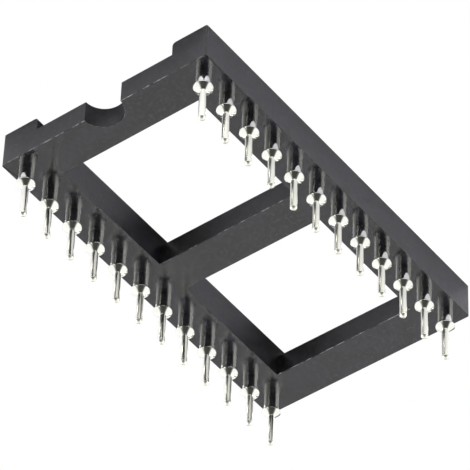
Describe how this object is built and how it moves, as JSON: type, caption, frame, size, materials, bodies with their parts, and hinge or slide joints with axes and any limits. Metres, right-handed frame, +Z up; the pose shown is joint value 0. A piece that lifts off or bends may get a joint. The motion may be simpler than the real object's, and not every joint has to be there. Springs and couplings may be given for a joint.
{
  "type": "dual in-line integrated circuit socket",
  "caption": "Open-frame socket for a dual in-line integrated circuit, with turned contact sleeves in two rows, a notched end and solder tails.",
  "frame": {"origin": "centre of the contact grid, on the upper face of the circuit board", "axes": "+Z up from the board to the circuit, +Y along the rows towards the notched end, +X across the rows; contact 1 at -X, +Y"},
  "size_m": [0.0176, 0.0306, 0.0075],
  "materials": {
    "housing_plastic": "black glass-filled moulding, satin to glossy",
    "tinned_sleeve": "turned brass under bright tin plate",
    "gilt_clip": "stamped copper alloy under thin gold plate"
  },
  "bodies": {
    "root": {"housing": "housing_plastic", "pin_sleeve_01": "tinned_sleeve", "pin_sleeve_02": "tinned_sleeve", "pin_sleeve_03": "tinned_sleeve", "pin_sleeve_04": "tinned_sleeve", "pin_sleeve_05": "tinned_sleeve", "pin_sleeve_06": "tinned_sleeve", "pin_sleeve_07": "tinned_sleeve", "pin_sleeve_08": "tinned_sleeve", "pin_sleeve_09": "tinned_sleeve", "pin_sleeve_10": "tinned_sleeve", "pin_sleeve_11": "tinned_sleeve", "pin_sleeve_12": "tinned_sleeve", "pin_sleeve_13": "tinned_sleeve", "pin_sleeve_14": "tinned_sleeve", "pin_sleeve_15": "tinned_sleeve", "pin_sleeve_16": "tinned_sleeve", "pin_sleeve_17": "tinned_sleeve", "pin_sleeve_18": "tinned_sleeve", "pin_sleeve_19": "tinned_sleeve", "pin_sleeve_20": "tinned_sleeve", "pin_sleeve_21": "tinned_sleeve", "pin_sleeve_22": "tinned_sleeve", "pin_sleeve_23": "tinned_sleeve", "pin_sleeve_24": "tinned_sleeve", "contact_clip_01": "gilt_clip", "contact_clip_02": "gilt_clip", "contact_clip_03": "gilt_clip", "contact_clip_04": "gilt_clip", "contact_clip_05": "gilt_clip", "contact_clip_06": "gilt_clip", "contact_clip_07": "gilt_clip", "contact_clip_08": "gilt_clip", "contact_clip_09": "gilt_clip", "contact_clip_10": "gilt_clip", "contact_clip_11": "gilt_clip", "contact_clip_12": "gilt_clip", "contact_clip_13": "gilt_clip", "contact_clip_14": "gilt_clip", "contact_clip_15": "gilt_clip", "contact_clip_16": "gilt_clip", "contact_clip_17": "gilt_clip", "contact_clip_18": "gilt_clip", "contact_clip_19": "gilt_clip", "contact_clip_20": "gilt_clip", "contact_clip_21": "gilt_clip", "contact_clip_22": "gilt_clip", "contact_clip_23": "gilt_clip", "contact_clip_24": "gilt_clip"}
  },
  "joints": []
}
